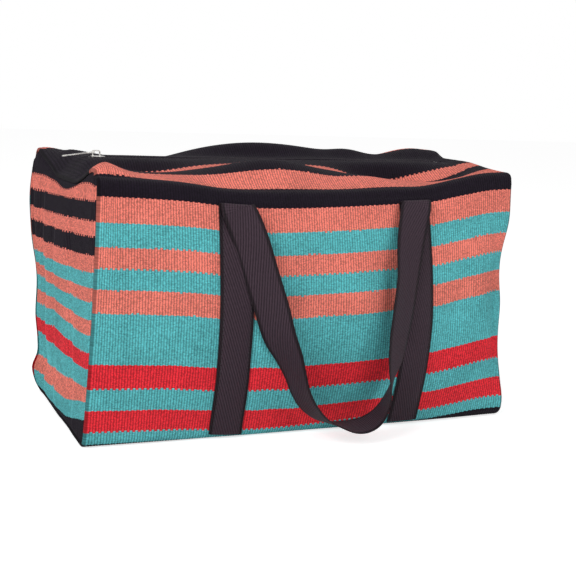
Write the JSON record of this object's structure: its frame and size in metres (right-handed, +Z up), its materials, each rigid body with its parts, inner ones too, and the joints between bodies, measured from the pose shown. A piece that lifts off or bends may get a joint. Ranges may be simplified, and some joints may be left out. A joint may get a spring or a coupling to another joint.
{
  "type": "duffle bag",
  "caption": "Soft box-shaped bag of heavy striped cotton, with a zip along its top and a webbing carrying strap on each long side.",
  "frame": {"origin": "on the floor under the middle of the bag, at the centre of its outline", "axes": "+X along the bag's length, towards the zip's closed end stop; -Y out of the front panel; +Z up"},
  "size_m": [0.5314, 0.3844, 0.314],
  "materials": {
    "striped_cloth": "heavy weft-faced cotton in coral, teal, red and black stripes",
    "webbing": "black herringbone twill webbing with a slight sheen",
    "zip_tape": "black woven tape",
    "zip_chain": "black nylon",
    "zip_metal": "bright nickel plate"
  },
  "bodies": {
    "bag": {"body_cloth": "striped_cloth", "left_end_panel": "striped_cloth", "right_end_panel": "striped_cloth", "front_handle": "webbing", "back_handle": "webbing", "zip_tape_front": "zip_tape", "zip_tape_back": "zip_tape", "zip_chain_front": "zip_chain", "zip_chain_back": "zip_chain", "zip_top_stop_front": "zip_metal", "zip_top_stop_back": "zip_metal", "zip_bottom_stop": "zip_metal"},
    "slider": {"zip_slider": "zip_metal"},
    "pull": {"zip_pull": "zip_metal"}
  },
  "joints": [
    {"name": "zip_slide", "type": "slide", "parent": "bag", "child": "slider", "axis": [1, 0, 0], "range_m": [0, 0.43]},
    {"name": "pull_hinge", "type": "hinge", "parent": "slider", "child": "pull", "pos_m": [-0.2195, 0, 0.3041], "axis": [0, 1, 0], "range_deg": [0, 187]}
  ]
}
